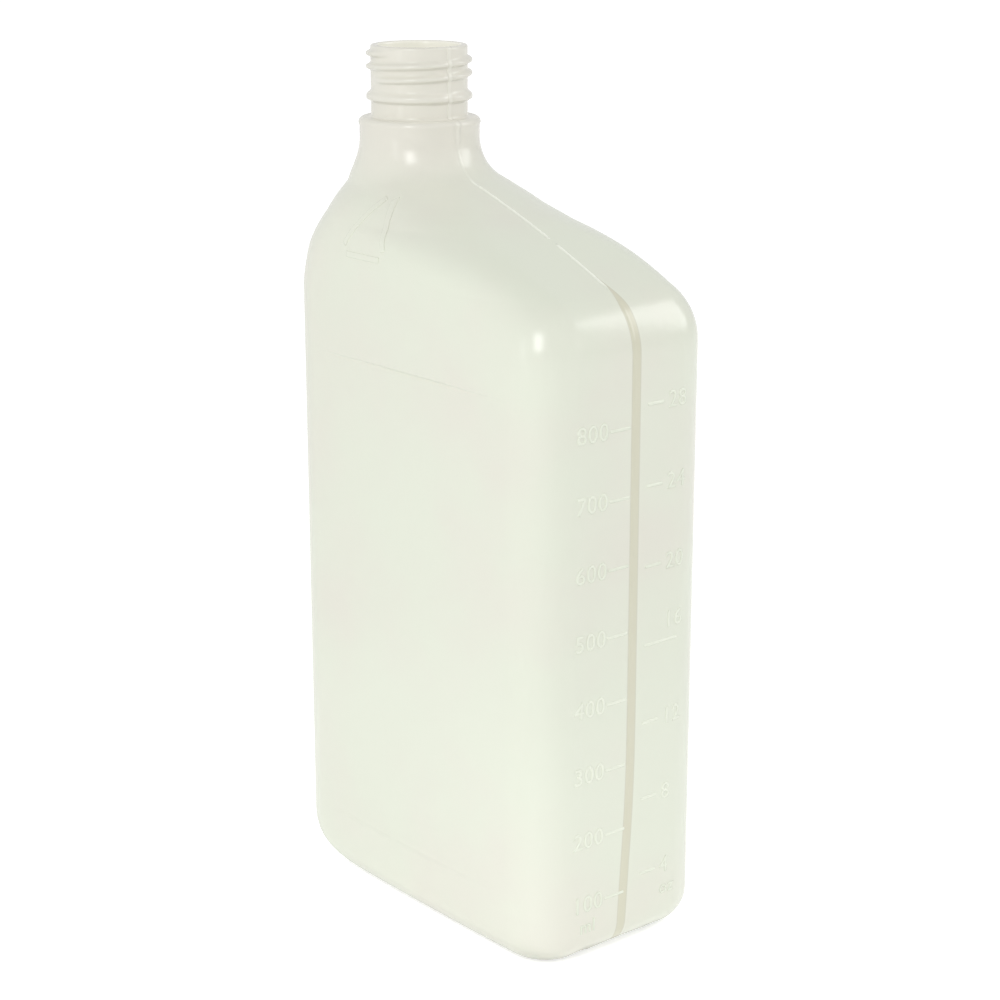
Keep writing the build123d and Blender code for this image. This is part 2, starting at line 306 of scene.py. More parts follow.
class BottleStage(bpy.types.PropertyGroup):
    """Camera, lamps and floor."""

    azimuth: angle("Camera azimuth", "Direction of the camera round the bottle", 50.22)
    elevation: angle("Camera elevation", "Height of the camera above the horizon", 15.98)
    distance: length("Camera distance", "Distance of the camera from its target", 610.0)
    target: spot("Target", "Point that the camera looks at", 0.00084, 0.00101, 0.1091)
    lens: share("Lens", "Focal length in millimetres", 83.67)
    sensor: share("Sensor", "Width of the camera's sensor in millimetres", 36.0)
    near_clip: length("Near clip", "Distance from which the camera sees", 10.0)
    world: share("World", "Strength of the even light all round", 0.77)
    lean: FloatVectorProperty(
        name="Lean", description="How the even light grows along each axis", default=(-0.14, -0.06, -0.1)
    )
    top_way: FloatVectorProperty(
        name="Top way", description="Direction of the darker top of the studio", default=(-0.06, 0.08, 1.0)
    )
    top_edge: angle("Top edge", "Angle from its middle at which the darker top ends", 35.0)
    top_full: angle("Top full", "Angle from its middle up to which the top is darkest", 23.0)
    top_dark: share("Top dark", "Share of the even light that is missing at the top", 0.55)
    floor: colour("Floor", "Colour of the floor", 0.86, 0.86, 0.86)
    floor_glow: share("Floor glow", "White that the floor adds for the camera", 0.56)
    floor_mirror: share("Floor mirror", "Share of the floor's glow that reflections show", 0.75)
    floor_roughness: share("Floor roughness", "Roughness of the matt floor", 0.9)
    key_power: watts("Key power", "Power of the lamp before the front", 2.8)
    key_size: lamp_face("Key size", "Size of the lamp before the front", 0.26, 0.48)
    key_place: spot("Key place", "Middle of the lamp before the front", 0.45, -0.77, 0.62)
    card_power: watts("Card power", "Power of the narrow upright card before the front", 0.15)
    card_size: lamp_face("Card size", "Size of the narrow upright card", 0.07, 0.3)
    card_place: spot("Card place", "Middle of the narrow upright card", 0.02, -0.6, 0.27)
    fill_power: watts("Fill power", "Power of the lamp beside the scale", 0.15)
    fill_size: lamp_face("Fill size", "Size of the lamp beside the scale", 0.22, 0.3)
    fill_place: spot("Fill place", "Middle of the lamp beside the scale", 0.8, 0.38, 0.5)
    side_power: watts("Side power", "Power of the lamp behind the slope", 2.6)
    side_size: lamp_face("Side size", "Size of the lamp behind the slope", 0.42, 0.6)
    side_place: spot("Side place", "Middle of the lamp behind the slope", 0.47, 0.78, 0.6)
    glow_power: watts("Glow power", "Power of each glow from the table", 0.03)
    front_glow_size: lamp_face("Front glow size", "Size of the glow before the front", 0.36, 0.14)
    front_glow_place: spot("Front glow place", "Middle of the glow before the front", 0.0, -0.1, 0.001)
    side_glow_size: lamp_face("Side glow size", "Size of the glow beside the scale", 0.14, 0.3)
    side_glow_place: spot("Side glow place", "Middle of the glow beside the scale", 0.12, 0.02, 0.001)


class BottleSettings(bpy.types.PropertyGroup):
    """All sizes and colours of the bottle and its stage."""

    body: PointerProperty(type=BottleBody, name="Body", description="Body sizes")
    shoulder: PointerProperty(type=BottleShoulder, name="Shoulder", description="Shoulder sizes")
    neck: PointerProperty(type=BottleNeck, name="Neck", description="Neck sizes")
    scale: PointerProperty(type=BottleScale, name="Scale", description="Fill marks and shoulder sign")
    finish: PointerProperty(type=BottleFinish, name="Finish", description="Colours and surface")
    stage: PointerProperty(type=BottleStage, name="Stage", description="Camera, lamps and floor")


def settings():
    """The scene's own copy of the settings."""
    return bpy.context.scene.oil_bottle


def smooth_step(value, low, high):
    """Eases from 0 at low to 1 at high."""
    t = min(max((value - low) / (high - low), 0.0), 1.0)
    return t * t * (3.0 - 2.0 * t)


def steps(low, high, run, spacing):
    """Values from low up to, but not including, high, spaced for a line of the given run."""
    count = max(ceil(run / spacing), 1)
    return [low + (high - low) * i / count for i in range(count)]


class ShoulderLine:
    """A line from the stem out to a wall: a concave, a crowned and a convex arc, each tangent to the next.

    Distances are counted from the neck axis. An inset gives the parallel line inside the wall.
    """

    def __init__(self, stem, reach, radii, angles, inset):
        self.stem_foot, stem_radius = stem
        self.near = stem_radius - inset
        self.far = reach - inset
        self.concave = radii[0] + inset
        self.crown = radii[1] - inset
        self.convex = radii[2] - inset
        self.top_angle, self.low_angle = angles
        to_crown = self.concave + self.crown
        to_convex = self.crown - self.convex
        self.concave_x = self.near + self.concave
        self.crown_x = self.concave_x - to_crown * sin(self.top_angle)
        self.crown_z = self.stem_foot - to_crown * cos(self.top_angle)
        self.convex_x = self.crown_x + to_convex * sin(self.low_angle)
        self.foot = self.crown_z + to_convex * cos(self.low_angle)
        self.crown_top = self.stem_foot - self.concave * cos(self.top_angle)
        self.convex_top = self.foot + self.convex * cos(self.low_angle)

    def at(self, z):
        """Distance from the neck axis, and steepness of the line in radians, at a height."""
        if z >= self.stem_foot:
            return self.near, pi / 2
        if z >= self.crown_top:
            turn = asin((self.stem_foot - z) / self.concave)
            return self.concave_x - self.concave * cos(turn), pi / 2 - turn
        if z >= self.convex_top:
            steep = acos((z - self.crown_z) / self.crown)
            return self.crown_x + self.crown * sin(steep), steep
        if z >= self.foot:
            steep = acos((z - self.foot) / self.convex)
            return self.convex_x + self.convex * sin(steep), steep
        return self.far, pi / 2

    def depth(self, x, z):
        """How deep a point lies under the convex arc or under the crown."""
        out, up = x - self.convex_x, z - self.foot
        if out >= up * tan(self.low_angle):
            return self.convex - sqrt(out**2 + up**2)
        return self.crown - sqrt((x - self.crown_x) ** 2 + (z - self.crown_z) ** 2)

    def heights(self, spacing):
        """Heights of the rings along the line, from its foot up to the stem."""
        low, top = self.low_angle, self.top_angle
        convex_turns = steps(pi / 2, low, self.convex * (pi / 2 - low), spacing)
        crown_turns = steps(low, top, self.crown * (low - top), spacing)
        concave_turns = steps(top, pi / 2, self.concave * (pi / 2 - top), spacing)
        result = [self.foot + self.convex * cos(turn) for turn in convex_turns]
        result += [self.crown_z + self.crown * cos(turn) for turn in crown_turns]
        return result + [self.stem_foot - self.concave * cos(turn) for turn in concave_turns]


def round_edge(start, corner, end, turn, shares):
    """Points on a round edge from start to end whose tangents meet at corner."""
    pull = 4 / 3 * tan(turn / 4) / tan(turn / 2)
    first = start + (corner - start) * pull
    second = end + (corner - end) * pull
    points = []
    for t in shares:
        s = 1 - t
        points.append(start * s**3 + first * (3 * s * s * t) + second * (3 * s * t * t) + end * t**3)
    return points


def edge_drop(run_share):
    """How far a quarter round drops, as a share of its radius, at a share of its run."""
    return 1 - sqrt(1 - min(max(run_share, 0), 1) ** 2)


def corner_of(start, leave, end, arrive):
    """Where the tangents of a round corner meet, with both directions given as angles."""
    go = Vector((cos(leave), sin(leave)))
    come = Vector((cos(arrive), sin(arrive)))
    gap = end - start
    reach = (gap.x * come.y - gap.y * come.x) / (go.x * come.y - go.y * come.x)
    return start + go * reach


class Skin:
    """Level rings of the bottle's outside, or of the parallel surface inside its wall."""

    def __init__(self, inset):
        self.body = settings().body
        self.shoulder = settings().shoulder
        self.neck = settings().neck
        self.inset = inset
        body, shoulder, neck = self.body, self.shoulder, self.neck
        self.axis = neck.inset - body.width / 2
        self.collar_top = body.height - neck.collar_drop
        self.collar_bottom = self.collar_top - neck.collar_height
        self.stem_foot = self.collar_bottom - shoulder.stem_height
        self.slope = self.crowned_line(body.width - neck.inset)
        self.left = self.swept_line(neck.inset, shoulder.left_concave, shoulder.left_convex)
        self.front = self.swept_line(body.depth / 2, shoulder.front_concave, shoulder.front_convex)

    def crowned_line(self, reach):
        """The long crowned slope from the neck to the far narrow side."""
        part = self.shoulder
        top = part.slope_angle
        run = reach - part.stem_radius - part.slope_concave * (1 - sin(top)) + part.slope_crown * sin(top)
        low = asin((run - part.slope_convex) / (part.slope_crown - part.slope_convex))
        radii = (part.slope_concave, part.slope_crown, part.slope_convex)
        return ShoulderLine((self.stem_foot, part.stem_radius), reach, radii, (top, low), self.inset)

    def swept_line(self, reach, concave, convex):
        """A plain S-shaped shoulder of two arcs."""
        stem_radius = self.shoulder.stem_radius
        turn = asin(1 - (reach - stem_radius) / (concave + convex))
        return ShoulderLine(
            (self.stem_foot, stem_radius), reach, (concave, convex, convex), (turn, turn), self.inset
        )

    def draw_in(self, z, radius):
        """How far a heel of that radius draws in at a height."""
        drop = radius - z
        if drop <= 0:
            return 0
        inner = radius - self.inset
        return inner - sqrt(max(inner**2 - drop**2, 0))

    def arch(self, y):
        """Height of the foot's surface at a distance from the parting line."""
        body = self.body
        radius = (body.arch_width**2 / 4 + body.arch_rise**2) / (2 * body.arch_rise)
        return max(self.inset, body.arch_rise - radius + sqrt((radius + self.inset) ** 2 - y * y))

    def bow_turn(self, bow, span, rise):
        """End angle of a flat's bow, from the body's own bow up to the round stem."""
        turn = 2 * atan(2 * bow / span)
        return turn + (self.shoulder.stem_flat - turn) * rise

    def face_limit(self, z):
        """How far a wide face may stand out, which is less at the label panel, and the groove's depth."""
        body = self.body
        top = body.panel_bottom + body.panel_height
        step = body.panel_step
        inside = smooth_step(z, body.panel_bottom - body.panel_ramp, body.panel_bottom + body.panel_ramp)
        inside -= smooth_step(z, top - step, top + step)
        limit = body.depth / 2 - self.inset - (body.face_bow - body.panel_bow) * inside
        return limit, body.panel_groove * (1 - smooth_step(abs(z - top + step), 0, 2 * step))

    def press_panel(self, points, z):
        """Presses the bowed faces flat at the label panel, with the groove under its upper edge."""
        limit, groove = self.face_limit(z)
        pressed = []
        for p in points:
            over = abs(p.y) - limit
            if over > 0:
                flat = limit - groove * min(over / self.body.face_bow, 1)
                p = Vector((p.x, flat if p.y > 0 else -flat))
            pressed.append(p)
        return pressed

    def roll_edge(self, points, z, radius, start, run):
        """Rolls the wide faces over the slope's end as a ball would, where the level corners fall short."""
        rolled = []
        for p in points:
            by_ball = edge_drop(1 - self.slope.depth(p.x - self.axis, z) / radius)
            by_level = edge_drop((p.x - start) / run)
            drop = radius * max(by_ball - by_level, 0)
            rolled.append(Vector((p.x, p.y - drop if p.y > 0 else p.y + drop)))
        return rolled

    def ring(self, z):
        """Points of one level section, counter-clockwise from the front end of the side below the slope."""
        body, shoulder = self.body, self.shoulder
        right, right_steep = self.slope.at(z)
        left, left_steep = self.left.at(z)
        half, face_steep = self.front.at(z)
        heel = self.draw_in(z, body.heel_radius)
        left_heel = self.draw_in(z, body.left_heel_radius)
        right = right + self.axis - heel
        left = left_heel - left + self.axis
        half = half - heel

        rise = smooth_step(z, self.front.foot, self.stem_foot)
        left_rise = min(max((z - self.stem_foot) / shoulder.left_swell_height + 1, 0), 1)
        radius = body.corner_radius + (shoulder.stem_radius - body.corner_radius) * rise - self.inset
        right_radius = radius + shoulder.slope_swell * sin(pi * rise) ** 2 - heel
        left_radius = radius + shoulder.left_swell * sin(pi * left_rise) ** 2 + left_heel

        least = (shoulder.stem_radius - self.inset) * sin(shoulder.stem_flat)
        right_flat = max(half - right_radius / sin(face_steep), least)
        left_flat = max(half - left_radius / sin(face_steep), least)
        left_run = min(left_radius / sin(left_steep), (right - left) / 2 - least)
        right_run = min(right_radius / sin(right_steep), right - left - left_run - 2 * least)
        face_left = left + left_run
        face_right = right - right_run

        side_turn = self.bow_turn(body.side_bow, body.depth - 2 * body.corner_radius, rise)
        face_turn = self.bow_turn(body.face_bow, body.width - 2 * body.corner_radius, rise)
        face_y = half - (face_right - face_left) / 2 * tan(face_turn / 2)
        right_x = right - right_flat * tan(side_turn / 2)
        left_x = left + left_flat * tan(side_turn / 2)
        flats = [
            (Vector((right_x, -right_flat)), Vector((right_x, right_flat)), side_turn),
            (Vector((face_right, face_y)), Vector((face_left, face_y)), face_turn),
            (Vector((left_x, left_flat)), Vector((left_x, -left_flat)), side_turn),
            (Vector((face_left, -face_y)), Vector((face_right, -face_y)), face_turn),
        ]
        points = []
        for i, (start, end, turn) in enumerate(flats):
            next_start, _, next_turn = flats[(i + 1) % len(flats)]
            facing = i * pi / 2
            outward = Vector((cos(facing), sin(facing)))
            span = (end - start).length
            bulge = (start + end) / 2 + outward * (span / 2 * tan(turn))
            shares = self.side_shares(span) if i % 2 == 0 else even_shares(FACE_STEPS)
            points += round_edge(start, bulge, end, 2 * turn, shares)
            leave = facing + pi / 2 + turn
            arrive = facing + pi - next_turn
            corner = corner_of(end, leave, next_start, arrive)
            points += round_edge(end, corner, next_start, arrive - leave, even_shares(CORNER_STEPS))
        if self.slope.foot < z < self.slope.convex_top:
            points = self.roll_edge(points, z, right_radius, face_right, right_run)
        return self.press_panel(points, z)

    def side_shares(self, span):
        """Shares along a narrow side, crowded round the mould seam in its middle."""
        ridge = 2 * self.neck.seam_width / span
        out = [*SIDE_SHARES, ridge * SEAM_COLUMN_SHARE, ridge]
        return [(1 - s) / 2 for s in out] + [0.5] + [(1 + s) / 2 for s in reversed(out[1:])]

    def level(self, z):
        """One ring at its height."""
        return [Vector((p.x, p.y, z)) for p in self.ring(z)]

    def heel_rings(self, count):
        """Rings from the edge of the foot up to the walls, each point starting above the arch."""
        radius = self.body.heel_radius
        inner = radius - self.inset
        lows = [self.arch(p.y) for p in self.ring(self.inset)]
        known = {}
        rings = []
        for k in range(count):
            ring = []
            for column, low in enumerate(lows):
                start = acos(min((radius - low) / inner, 1))
                z = radius - inner * cos(start + (pi / 2 - start) * k / count)
                if z not in known:
                    known[z] = self.level(z)
                ring.append(known[z][column])
            rings.append(ring)
        return rings

    def floor_rings(self, edge, shares):
        """Rings across the foot, from its middle out towards its edge."""
        middle = (min(p.x for p in edge) + max(p.x for p in edge)) / 2
        rings = []
        for s in shares:
            flat = [(middle + (p.x - middle) * s, p.y * s) for p in edge]
            rings.append([Vector((x, y, self.arch(y))) for x, y in flat])
        return rings

    def wall_heights(self, panel_rows, spacing):
        """Heights of the rings from the top of the heel to the stem."""
        body = self.body
        low = body.panel_bottom
        high = low + body.panel_height
        edge = [body.panel_step * s for s in PANEL_STEP_SHARES]
        heights = [body.heel_radius, (body.heel_radius + body.left_heel_radius) / 2, body.left_heel_radius]
        heights += [low + body.panel_ramp * s for s in PANEL_RAMP_SHARES]
        heights += [low + (high - low) * (i + 1) / (panel_rows + 1) for i in range(panel_rows)]
        heights += [high - shift for shift in reversed(edge)]
        return heights + self.slope.heights(spacing)


def even_shares(count):
    """Even shares from 0 up to, but not including, 1."""
    return [i / count for i in range(count)]


def arc_points(centre, radius, first, last, count):
    """Distances and heights along an arc, without its first point."""
    turns = [first + (last - first) * (i + 1) / count for i in range(count)]
    return [(centre[0] + radius * cos(turn), centre[1] + radius * sin(turn)) for turn in turns]


def neck_relief(turn, z):
    """How far thread and bead stand out of the neck wall in one direction, at one height."""
    body, neck = settings().body, settings().neck
    over = z - (body.height - neck.bead_drop)
    flank = neck.bead_above if over > 0 else neck.bead_below
    bead = neck.bead_height * (1 - smooth_step(abs(over), flank * neck.crest_share, flank))
    thread = 0
    first = ((neck.thread_start - turn) / (2 * pi)) % 1
    for lap in range(ceil(neck.thread_turns) + 1):
        along = first + lap
        fade = smooth_step(along, 0, neck.thread_fade)
        fade *= smooth_step(neck.thread_turns - along, 0, neck.thread_fade)
        crest = body.height - neck.thread_drop - neck.thread_pitch * along
        ridge = 1 - smooth_step(abs(z - crest), neck.thread_half * neck.crest_share, neck.thread_half)
        thread = max(thread, neck.thread_height * fade * ridge)
    from_seam = asin(sin(turn)) / neck.seam_cut
    return max(bead, thread) * (1 - neck.seam_cut_depth * exp(-(from_seam**2)))


class NeckTurner:
    """Turns outlines of distances and heights about the neck axis into rings."""

    def __init__(self, skin):
        self.skin = skin
        self.rays = [(p - Vector((skin.axis, 0))).normalized() for p in skin.ring(skin.stem_foot)]

    def ring(self, z, radii):
        """One ring with its own radius for each column."""
        pairs = zip(self.rays, radii)
        return [Vector((self.skin.axis + ray.x * radius, ray.y * radius, z)) for ray, radius in pairs]

    def round_rings(self, outline):
        """Round rings, one for each point of an outline."""
        return [self.ring(z, [radius] * len(self.rays)) for radius, z in outline]

    def outside(self):
        """Stem, collar and neck wall with bead and thread, up to the rim."""
        skin = self.skin
        body, neck, stem_radius = skin.body, skin.neck, skin.shoulder.stem_radius
        collar_side = skin.collar_top - neck.collar_round
        wall_foot = skin.collar_top + neck.foot_round
        rim_side = body.height - neck.rim_round
        collar = (neck.collar_radius - neck.collar_round, collar_side)
        fillet = (neck.radius + neck.foot_round, wall_foot)
        rim = (neck.radius - neck.rim_round, rim_side)

        below = [(stem_radius, skin.stem_foot), (stem_radius, skin.collar_bottom)]
        below.append((neck.collar_radius, collar_side))
        below += arc_points(collar, neck.collar_round, 0, pi / 2, COLLAR_ROWS)
        below.append((neck.radius + neck.foot_round, skin.collar_top))
        below += arc_points(fillet, neck.foot_round, -pi / 2, -pi, ROUND_ROWS)
        above = [(neck.radius, rim_side)]
        above += arc_points(rim, neck.rim_round, 0, pi / 2, ROUND_ROWS)

        turns = [atan2(ray.y, ray.x) for ray in self.rays]
        wall = []
        for z in steps(wall_foot, rim_side, rim_side - wall_foot, neck.ring_step)[1:]:
            wall.append(self.ring(z, [neck.radius + neck_relief(turn, z) for turn in turns]))
        return self.round_rings(below) + wall + self.round_rings(above)

    def inside(self):
        """The rim's inner edge, the bore and the flare inside the collar."""
        skin = self.skin
        body, neck = skin.body, skin.neck
        rim = (neck.bore_radius + neck.rim_round, body.height - neck.rim_round)
        flare_top = skin.collar_top - (neck.radius - neck.bore_radius) / 2
        outline = [(rim[0], body.height)]
        outline += arc_points(rim, neck.rim_round, pi / 2, pi, ROUND_ROWS)
        outline += [(neck.bore_radius, flare_top), (skin.shoulder.stem_radius - body.wall, skin.stem_foot)]
        return self.round_rings(outline)


def seam_ridge(skin, z, on_right):
    """Height of the mould seam at a level: highest on the long slope, with a small gap there."""
    neck = skin.neck
    slope_low, slope_high = skin.slope.convex_top, skin.slope.crown_top
    if z >= skin.stem_foot:
        return neck.seam_band
    if not on_right or not slope_low < z < slope_high:
        return neck.seam_low
    if neck.seam_gap_bottom < z < neck.seam_gap_top:
        return 0.0
    return neck.seam_height


def raise_seam(skin, rings):
    """Lifts the middle of both narrow sides into the fine ridge of the mould seam."""
    near = len(SIDE_SHARES) + 2
    far = 3 * near + FACE_STEPS + 2 * CORNER_STEPS
    for ring in rings:
        for middle, line, way in ((near, skin.slope, 1), (far, skin.left, -1)):
            z = ring[middle].z
            steep = line.at(z)[1]
            lift = Vector((way * sin(steep), 0, cos(steep))) * seam_ridge(skin, z, way > 0)
            spread = SEAM_BAND_COLUMNS if z >= skin.stem_foot else 0
            for column in range(middle - spread, middle + spread + 1):
                ring[column] = ring[column] + lift


def bottle_rings():
    """Rings of the skin, from the foot over the rim to the inner floor, and where its lining starts."""
    outer = Skin(0)
    inner = Skin(settings().body.wall)
    neck = NeckTurner(outer)
    heel = outer.heel_rings(HEEL_ROWS)
    wall = [outer.level(z) for z in outer.wall_heights(PANEL_ROWS, outer.shoulder.ring_step)]
    outside = heel + wall + neck.outside()
    foot = outer.floor_rings(heel[0], FLOOR_SHARES)
    raise_seam(outer, outside)
    inner_heel = inner.heel_rings(INNER_HEEL_ROWS)
    inner_wall = [inner.level(z) for z in inner.wall_heights(INNER_PANEL_ROWS, inner.shoulder.inner_step)]
    lining = inner.floor_rings(inner_heel[0], FLOOR_SHARES) + inner_heel + inner_wall
    shell = foot + outside + neck.inside()
    return shell + lining[::-1], len(shell) - 1


def select_nothing():
    """Deselects every object, so that an operator acts on the new piece alone."""
    bpy.ops.object.select_all(action="DESELECT")


def ring_mesh(name, rings, lining_start):
    """Extrudes a circle ring by ring into a closed skin, marks its lining, and caps its two ends."""
    select_nothing()
    bpy.ops.mesh.primitive_circle_add(vertices=len(rings[0]), fill_type="NOTHING")
    piece = bpy.context.object
    piece.name = name
    bpy.ops.object.mode_set(mode="EDIT")
    shape = bmesh.from_edit_mesh(piece.data)
    column = shape.verts.layers.int.new("column")
    shape.verts.layers.float.new("lining")
    for i, vertex in enumerate(shape.verts):
        vertex[column] = i
        vertex.co = rings[0][i]
    for number, ring in enumerate(rings[1:], 1):
        bpy.ops.mesh.extrude_edges_move()
        shape = bmesh.from_edit_mesh(piece.data)
        column = shape.verts.layers.int["column"]
        lining = shape.verts.layers.float["lining"]
        for vertex in shape.verts:
            if vertex.select:
                vertex.co = ring[vertex[column]]
                vertex[lining] = float(number >= lining_start)
    bpy.ops.mesh.edge_face_add()
    bpy.ops.mesh.poke()
    bpy.ops.mesh.select_all(action="DESELECT")
    bpy.ops.mesh.select_non_manifold()
    bpy.ops.mesh.edge_face_add()
    bpy.ops.mesh.poke()
    bpy.ops.mesh.select_all(action="SELECT")
    bpy.ops.mesh.normals_make_consistent(inside=False)
    bpy.ops.object.mode_set(mode="OBJECT")
    piece.data.attributes.remove(piece.data.attributes["column"])
    bpy.ops.object.shade_smooth_by_angle(angle=CREASE)
    return piece


def adopt(piece, material):
    """Makes a finished piece ride on the bottle and gives it its plastic."""
    piece.data.materials.clear()
    piece.data.materials.append(material)
    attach(piece, "root")
    return piece


class OILBOTTLE_OT_mould_skin(bpy.types.Operator):
    """Mould the hollow skin with its neck, thread and seam"""

    bl_idname = "oil_bottle.mould_skin"
    bl_label = "Mould skin"

    def execute(self, context):
        piece = adopt(ring_mesh("moulded_skin", *bottle_rings()), skin_plastic())
        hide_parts("bottle")
        return {"FINISHED"}


def soft_bar(size):
    """One low bar with a round back, centred on the origin."""
    high, run, wide = size
    bpy.ops.mesh.primitive_cube_add(size=1, scale=(1, run / wide, 1))
    bpy.ops.object.transform_apply(location=False, rotation=False, scale=True)
    bpy.ops.object.mode_set(mode="EDIT")
    bpy.ops.mesh.select_all(action="SELECT")
    bpy.ops.mesh.bevel(offset=BAR_ROUND, segments=BAR_ROUND_STEPS, affect="EDGES")
    bpy.ops.transform.resize(value=(high, wide, wide), center_override=(0, 0, 0))
    bpy.ops.object.mode_set(mode="OBJECT")
    return bpy.context.object


def copies(model, places):
    """The modelled piece at the first place, and copies of it with their own meshes at the others."""
    pieces = [model]
    for _ in places[1:]:
        select_nothing()
        model.select_set(True)
        bpy.context.view_layer.objects.active = model
        bpy.ops.object.duplicate(linked=False)
        pieces.append(bpy.context.object)
    for piece, place in zip(pieces, places):
        piece.location = place
    return pieces


def mark_height(millilitres):
    """Height up to which the bottle holds that much."""
    scale = settings().scale
    return scale.top_mark - (MILLILITRES[0] - millilitres) / 100 * scale.per_hundred


def scale_bars(start, run, heights):
    """Equal fill marks that run along the narrow side from a starting point, one at each height."""
    scale = settings().scale
    select_nothing()
    model = soft_bar((BAR_THICKNESS * scale.relief, run, scale.line))
    sunk = scale.relief * (1 - BAR_THICKNESS / 2)
    return copies(model, [(sunk, start + run / 2, z) for z in heights])


def scale_word(word, size, y, z, align):
    """A number or a unit, standing out of the narrow side."""
    scale = settings().scale
    select_nothing()
    bpy.ops.object.text_add(location=(0, y, z), rotation=(pi / 2, 0, pi / 2))
    text = bpy.context.object
    text.data.body = word
    text.data.size = size
    text.data.align_x = align
    text.data.align_y = "CENTER"
    text.data.offset = scale.bold - scale.relief
    text.data.space_character = WORD_SPACING
    text.data.bevel_depth = scale.relief
    text.data.bevel_resolution = WORD_ROUND_STEPS
    bpy.ops.object.convert(target="MESH")
    return bpy.context.object


def scale_pieces():
    """Every mark, number and unit of the two fill scales."""
    scale = settings().scale
    left = {amount: mark_height(amount) for amount in MILLILITRES}
    right = {amount: mark_height(amount * MILLILITRES_PER_OUNCE) for amount in OUNCES}
    short = [z for amount, z in right.items() if amount != PINT]
    pieces = scale_bars(scale.left_end - scale.left_length, scale.left_length, list(left.values()))
    pieces += scale_bars(scale.right_end, scale.right_length, short)
    pieces += scale_bars(scale.right_end, scale.pint_length, [right[PINT]])
    for amount, z in left.items():
        pieces.append(scale_word(str(amount), scale.digit, scale.left_number, z, "CENTER"))
    for amount, z in right.items():
        lift = scale.pint_lift if amount == PINT else 0
        pieces.append(scale_word(str(amount), scale.ounce_digit, scale.right_number, z + lift, "LEFT"))
    pieces.append(scale_word("ml", scale.unit, scale.left_number, scale.unit_z, "CENTER"))
    pieces.append(scale_word("oz", scale.unit, scale.right_number, scale.ounce_unit_z, "LEFT"))
    return pieces


def join(pieces, name):
    """Joins pieces into one and puts its place into its mesh."""
    select_nothing()
    for piece in pieces:
        piece.select_set(True)
    bpy.context.view_layer.objects.active = pieces[0]
    bpy.ops.object.transform_apply(location=True, rotation=True, scale=True)
    bpy.ops.object.join()
    joined = bpy.context.object
    joined.name = name
    return joined


class OILBOTTLE_OT_raise_scale(bpy.types.Operator):
    """Raise the fill marks and their numbers on the narrow side"""

    bl_idname = "oil_bottle.raise_scale"
    bl_label = "Raise fill scale"

    def execute(self, context):
        piece = join(scale_pieces(), "raised_scale")
        skin = Skin(0)
        side = sorted((p.y, p.x) for p in skin.ring(settings().scale.top_mark) if p.x > 0)
        for vertex in piece.data.vertices:
            heel = skin.draw_in(vertex.co.z, skin.body.heel_radius)
            vertex.co.x += float(np.interp(vertex.co.y, *zip(*side))) - heel
        bpy.ops.object.shade_smooth_by_angle(angle=CREASE)
        # The marks' plastic is painted paler: a painted highlight on their raised tops.
        adopt(piece, mark_plastic())
        return {"FINISHED"}


def sign_bars():
    """The flat bars of the shoulder sign, turned into a triangle in front of the bottle."""
    scale = settings().scale
    select_nothing()
    bpy.ops.mesh.primitive_grid_add(x_subdivisions=SIGN_GRID[0], y_subdivisions=SIGN_GRID[1], size=1)
    model = bpy.context.object
    model.scale = (scale.sign_size, scale.sign_line, 1)
    away = scale.sign_size * SIGN_SPREAD
    ahead = -settings().body.depth
    turns = [2 * pi / SIGN_BARS * i for i in range(SIGN_BARS)]
    places = [(scale.sign_x - sin(turn) * away, ahead, scale.sign_z - cos(turn) * away) for turn in turns]
    bars = copies(model, places)
    for bar, turn in zip(bars, turns):
        bar.rotation_euler = (pi / 2, turn, 0)
    return bars


def apply_modifier(piece, kind, **values):
    """Adds a modifier with its values to a piece, and applies it."""
    modifier = piece.modifiers.new(kind.lower(), kind)
    for key, value in values.items():
        setattr(modifier, key, value)
    bpy.ops.object.modifier_apply(modifier=modifier.name)


class OILBOTTLE_OT_raise_sign(bpy.types.Operator):
    """Raise the plain triangle on the shoulder beside the neck"""

    bl_idname = "oil_bottle.raise_sign"
    bl_label = "Raise shoulder sign"

    def execute(self, context):
        relief = settings().scale.relief
        piece = join(sign_bars(), "shoulder_sign")
        skin = bpy.data.objects["moulded_skin"]
        apply_modifier(
            piece,
            "SHRINKWRAP",
            target=skin,
            wrap_method="PROJECT",
            use_project_y=True,
            use_positive_direction=True,
            use_negative_direction=False,
        )
        apply_modifier(piece, "SOLIDIFY", thickness=SIGN_THICKNESS * relief, offset=0)
        apply_modifier(
            piece, "BEVEL", width=relief * SIGN_ROUND, segments=SIGN_ROUND_STEPS, limit_method="ANGLE"
        )
        bpy.ops.object.shade_smooth_by_angle(angle=CREASE)
        adopt(piece, bpy.data.materials["moulded_plastic"])
        return {"FINISHED"}


def add_node(tree, kind, links=(), **values):
    """Adds a node, sets its values, and links sockets into its inputs."""
    node = tree.nodes.new(kind)
    for key, value in values.items():
        setattr(node, key, value)
    for key, value in dict(links).items():
        if isinstance(value, bpy.types.NodeSocket):
            tree.links.new(value, node.inputs[key])
        else:
            node.inputs[key].default_value = value
    return node


def maths(tree, operation, first, second=0.0):
    """A maths node; its inputs are sockets or numbers."""
    return add_node(tree, "ShaderNodeMath", {0: first, 1: second}, operation=operation).outputs[0]


def ease(tree, value, low, high, start=0.0, end=1.0):
    """Eases a value from start at low to end at high."""
    links = {"Value": value, "From Min": low, "From Max": high, "To Min": start, "To Max": end}
    return add_node(tree, "ShaderNodeMapRange", links, interpolation_type="SMOOTHSTEP").outputs["Result"]


